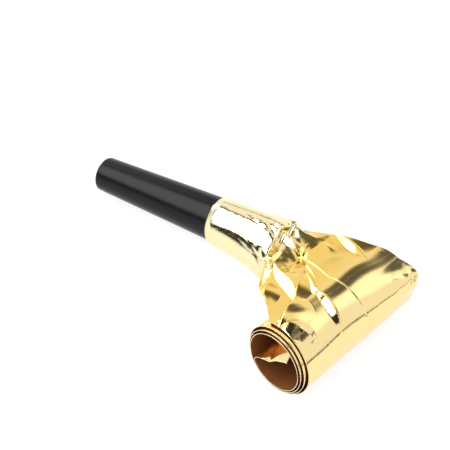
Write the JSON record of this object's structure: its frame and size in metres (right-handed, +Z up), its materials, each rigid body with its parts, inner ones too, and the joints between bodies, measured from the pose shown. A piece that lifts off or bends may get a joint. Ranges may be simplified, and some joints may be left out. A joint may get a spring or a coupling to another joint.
{
  "type": "party horn blower",
  "caption": "Party horn blower: a tapered black plastic mouthpiece with a reed, and a flat gold foil tube that lies rolled up and uncurls when blown.",
  "frame": {"origin": "on the table that the blower lies on, under the middle of its box", "axes": "+X along the mouthpiece from the lips towards the roll, +Z up from the table"},
  "size_m": [0.1066, 0.0486, 0.0207],
  "materials": {
    "black_plastic": "satin moulded plastic",
    "gold_film": "mirror-bright metallised film",
    "recoil_film": "clear film",
    "reed_plastic": "moulded",
    "reed_film": "clear film",
    "glue": "tacky"
  },
  "bodies": {
    "mouthpiece": {"mouthpiece_tube": "black_plastic", "reed_shallot": "reed_plastic", "reed_collar": "reed_plastic", "glue_band": "glue", "foil_sleeve": "gold_film"},
    "tongue": {"reed_tongue": "reed_film"},
    "neck": {"foil_neck": "gold_film", "recoil_anchor": "recoil_film"},
    "panel_01": {"foil_panel_01": "gold_film", "recoil_strip_01": "recoil_film"},
    "panel_02": {"foil_panel_02": "gold_film", "recoil_strip_02": "recoil_film"},
    "panel_03": {"foil_panel_03": "gold_film", "recoil_strip_03": "recoil_film"},
    "panel_04": {"foil_panel_04": "gold_film", "recoil_strip_04": "recoil_film"},
    "panel_05": {"foil_panel_05": "gold_film", "recoil_strip_05": "recoil_film"},
    "panel_06": {"foil_panel_06": "gold_film", "recoil_strip_06": "recoil_film"},
    "panel_07": {"foil_panel_07": "gold_film", "recoil_strip_07": "recoil_film"},
    "panel_08": {"foil_panel_08": "gold_film", "recoil_strip_08": "recoil_film"},
    "panel_09": {"foil_panel_09": "gold_film", "recoil_strip_09": "recoil_film"},
    "panel_10": {"foil_panel_10": "gold_film", "recoil_strip_10": "recoil_film"},
    "panel_11": {"foil_panel_11": "gold_film", "recoil_strip_11": "recoil_film"},
    "panel_12": {"foil_panel_12": "gold_film", "recoil_strip_12": "recoil_film"},
    "panel_13": {"foil_panel_13": "gold_film", "recoil_strip_13": "recoil_film"},
    "panel_14": {"foil_panel_14": "gold_film", "recoil_strip_14": "recoil_film"},
    "panel_15": {"foil_panel_15": "gold_film", "recoil_strip_15": "recoil_film"},
    "panel_16": {"foil_panel_16": "gold_film", "recoil_strip_16": "recoil_film"},
    "panel_17": {"foil_panel_17": "gold_film", "recoil_strip_17": "recoil_film"},
    "panel_18": {"foil_panel_18": "gold_film", "recoil_strip_18": "recoil_film"},
    "panel_19": {"foil_panel_19": "gold_film", "recoil_strip_19": "recoil_film"},
    "panel_20": {"foil_panel_20": "gold_film", "recoil_strip_20": "recoil_film"},
    "panel_21": {"foil_panel_21": "gold_film", "recoil_strip_21": "recoil_film"},
    "panel_22": {"foil_panel_22": "gold_film", "recoil_strip_22": "recoil_film"},
    "panel_23": {"foil_panel_23": "gold_film", "recoil_strip_23": "recoil_film"},
    "panel_24": {"foil_panel_24": "gold_film", "recoil_strip_24": "recoil_film"},
    "tail": {"foil_tail": "gold_film", "tail_seal": "gold_film"}
  },
  "joints": [
    {"name": "crease", "type": "hinge", "parent": "mouthpiece", "child": "neck", "pos_m": [0.01394, 0.01638, 0.00821], "axis": [-0.0182, 0.8937, 0.4483], "range_deg": [0, 30.68]},
    {"name": "uncurl_01", "type": "hinge", "parent": "neck", "child": "panel_01", "pos_m": [0.03355, 0.002, 0.01966], "axis": [-0.2334, -0.9724, 0], "range_deg": [0, 28.06], "stiffness_Nm_per_rad": 0.0003},
    {"name": "uncurl_02", "type": "hinge", "parent": "panel_01", "child": "panel_02", "pos_m": [0.04319, -0.00031, 0.01935], "axis": [-0.2334, -0.9724, 0], "range_deg": [0, 59.12], "stiffness_Nm_per_rad": 0.0003},
    {"name": "uncurl_03", "type": "hinge", "parent": "panel_02", "child": "panel_03", "pos_m": [0.04826, -0.00153, 0.01103], "axis": [-0.2334, -0.9724, 0], "range_deg": [0, 59.12], "stiffness_Nm_per_rad": 0.0003},
    {"name": "uncurl_04", "type": "hinge", "parent": "panel_03", "child": "panel_04", "pos_m": [0.0444, -0.00061, 0.00215], "axis": [-0.2334, -0.9724, 0], "range_deg": [0, 59.12], "stiffness_Nm_per_rad": 0.0003},
    {"name": "uncurl_05", "type": "hinge", "parent": "panel_04", "child": "panel_05", "pos_m": [0.03519, 0.00161, 0.00051], "axis": [-0.2334, -0.9724, 0], "range_deg": [0, 59.12], "stiffness_Nm_per_rad": 0.0003},
    {"name": "uncurl_06", "type": "hinge", "parent": "panel_05", "child": "panel_06", "pos_m": [0.0288, 0.00314, 0.00739], "axis": [-0.2334, -0.9724, 0], "range_deg": [0, 59.12], "stiffness_Nm_per_rad": 0.0003},
    {"name": "uncurl_07", "type": "hinge", "parent": "panel_06", "child": "panel_07", "pos_m": [0.03077, 0.00267, 0.01658], "axis": [-0.2334, -0.9724, 0], "range_deg": [0, 59.12], "stiffness_Nm_per_rad": 0.0003},
    {"name": "uncurl_08", "type": "hinge", "parent": "panel_07", "child": "panel_08", "pos_m": [0.0392, 0.00064, 0.01998], "axis": [-0.2334, -0.9724, 0], "range_deg": [0, 59.12], "stiffness_Nm_per_rad": 0.0003},
    {"name": "uncurl_09", "type": "hinge", "parent": "panel_08", "child": "panel_09", "pos_m": [0.04656, -0.00112, 0.01475], "axis": [-0.2334, -0.9724, 0], "range_deg": [0, 59.12], "stiffness_Nm_per_rad": 0.0003},
    {"name": "uncurl_10", "type": "hinge", "parent": "panel_09", "child": "panel_10", "pos_m": [0.04643, -0.00109, 0.00565], "axis": [-0.2334, -0.9724, 0], "range_deg": [0, 59.12], "stiffness_Nm_per_rad": 0.0003},
    {"name": "uncurl_11", "type": "hinge", "parent": "panel_10", "child": "panel_11", "pos_m": [0.0391, 0.00067, 0.00073], "axis": [-0.2334, -0.9724, 0], "range_deg": [0, 59.12], "stiffness_Nm_per_rad": 0.0003},
    {"name": "uncurl_12", "type": "hinge", "parent": "panel_11", "child": "panel_12", "pos_m": [0.03114, 0.00258, 0.00422], "axis": [-0.2334, -0.9724, 0], "range_deg": [0, 59.12], "stiffness_Nm_per_rad": 0.0003},
    {"name": "uncurl_13", "type": "hinge", "parent": "panel_12", "child": "panel_13", "pos_m": [0.02953, 0.00296, 0.01286], "axis": [-0.2334, -0.9724, 0], "range_deg": [0, 59.12], "stiffness_Nm_per_rad": 0.0003},
    {"name": "uncurl_14", "type": "hinge", "parent": "panel_13", "child": "panel_14", "pos_m": [0.03554, 0.00152, 0.01897], "axis": [-0.2334, -0.9724, 0], "range_deg": [0, 59.12], "stiffness_Nm_per_rad": 0.0003},
    {"name": "uncurl_15", "type": "hinge", "parent": "panel_14", "child": "panel_15", "pos_m": [0.04373, -0.00044, 0.01727], "axis": [-0.2334, -0.9724, 0], "range_deg": [0, 59.12], "stiffness_Nm_per_rad": 0.0003},
    {"name": "uncurl_16", "type": "hinge", "parent": "panel_15", "child": "panel_16", "pos_m": [0.04688, -0.0012, 0.00943], "axis": [-0.2334, -0.9724, 0], "range_deg": [0, 59.12], "stiffness_Nm_per_rad": 0.0003},
    {"name": "uncurl_17", "type": "hinge", "parent": "panel_16", "child": "panel_17", "pos_m": [0.04236, -0.00011, 0.00245], "axis": [-0.2334, -0.9724, 0], "range_deg": [0, 59.12], "stiffness_Nm_per_rad": 0.0003},
    {"name": "uncurl_18", "type": "hinge", "parent": "panel_17", "child": "panel_18", "pos_m": [0.03431, 0.00182, 0.00242], "axis": [-0.2334, -0.9724, 0], "range_deg": [0, 59.12], "stiffness_Nm_per_rad": 0.0003},
    {"name": "uncurl_19", "type": "hinge", "parent": "panel_18", "child": "panel_19", "pos_m": [0.02985, 0.00289, 0.00919], "axis": [-0.2334, -0.9724, 0], "range_deg": [0, 59.12], "stiffness_Nm_per_rad": 0.0003},
    {"name": "uncurl_20", "type": "hinge", "parent": "panel_19", "child": "panel_20", "pos_m": [0.0328, 0.00218, 0.01668], "axis": [-0.2334, -0.9724, 0], "range_deg": [0, 59.12], "stiffness_Nm_per_rad": 0.0003},
    {"name": "uncurl_21", "type": "hinge", "parent": "panel_20", "child": "panel_21", "pos_m": [0.04039, 0.00036, 0.01831], "axis": [-0.2334, -0.9724, 0], "range_deg": [0, 59.12], "stiffness_Nm_per_rad": 0.0003},
    {"name": "uncurl_22", "type": "hinge", "parent": "panel_21", "child": "panel_22", "pos_m": [0.04586, -0.00096, 0.01282], "axis": [-0.2334, -0.9724, 0], "range_deg": [0, 59.12], "stiffness_Nm_per_rad": 0.0003},
    {"name": "uncurl_23", "type": "hinge", "parent": "panel_22", "child": "panel_23", "pos_m": [0.0445, -0.00063, 0.00518], "axis": [-0.2334, -0.9724, 0], "range_deg": [0, 59.12], "stiffness_Nm_per_rad": 0.0003},
    {"name": "uncurl_24", "type": "hinge", "parent": "panel_23", "child": "panel_24", "pos_m": [0.03766, 0.00101, 0.00213], "axis": [-0.2334, -0.9724, 0], "range_deg": [0, 59.12], "stiffness_Nm_per_rad": 0.0003},
    {"name": "uncurl_tail", "type": "hinge", "parent": "panel_24", "child": "tail", "pos_m": [0.03147, 0.0025, 0.00621], "axis": [-0.2334, -0.9724, 0], "range_deg": [0, 111.06], "stiffness_Nm_per_rad": 0.00003},
    {"name": "tongue", "type": "hinge", "parent": "mouthpiece", "child": "tongue", "pos_m": [-0.02665, 0.01638, 0.00722], "axis": [0, 1, 0], "range_deg": [-2.5, 2.5], "stiffness_Nm_per_rad": 0.00017}
  ],
  "couplings": [
    {"joint": "crease", "follows": "uncurl_01", "ratio": 0.98643},
    {"joint": "uncurl_02", "follows": "uncurl_01", "ratio": 2},
    {"joint": "uncurl_03", "follows": "uncurl_01", "ratio": 2},
    {"joint": "uncurl_04", "follows": "uncurl_01", "ratio": 2},
    {"joint": "uncurl_05", "follows": "uncurl_01", "ratio": 2},
    {"joint": "uncurl_06", "follows": "uncurl_01", "ratio": 2},
    {"joint": "uncurl_07", "follows": "uncurl_01", "ratio": 2},
    {"joint": "uncurl_08", "follows": "uncurl_01", "ratio": 2},
    {"joint": "uncurl_09", "follows": "uncurl_01", "ratio": 2},
    {"joint": "uncurl_10", "follows": "uncurl_01", "ratio": 2},
    {"joint": "uncurl_11", "follows": "uncurl_01", "ratio": 2},
    {"joint": "uncurl_12", "follows": "uncurl_01", "ratio": 2},
    {"joint": "uncurl_13", "follows": "uncurl_01", "ratio": 2},
    {"joint": "uncurl_14", "follows": "uncurl_01", "ratio": 2},
    {"joint": "uncurl_15", "follows": "uncurl_01", "ratio": 2},
    {"joint": "uncurl_16", "follows": "uncurl_01", "ratio": 2},
    {"joint": "uncurl_17", "follows": "uncurl_01", "ratio": 2},
    {"joint": "uncurl_18", "follows": "uncurl_01", "ratio": 2},
    {"joint": "uncurl_19", "follows": "uncurl_01", "ratio": 2},
    {"joint": "uncurl_20", "follows": "uncurl_01", "ratio": 2},
    {"joint": "uncurl_21", "follows": "uncurl_01", "ratio": 2},
    {"joint": "uncurl_22", "follows": "uncurl_01", "ratio": 2},
    {"joint": "uncurl_23", "follows": "uncurl_01", "ratio": 2},
    {"joint": "uncurl_24", "follows": "uncurl_01", "ratio": 2},
    {"joint": "uncurl_tail", "follows": "uncurl_01", "ratio": 3.8512}
  ]
}
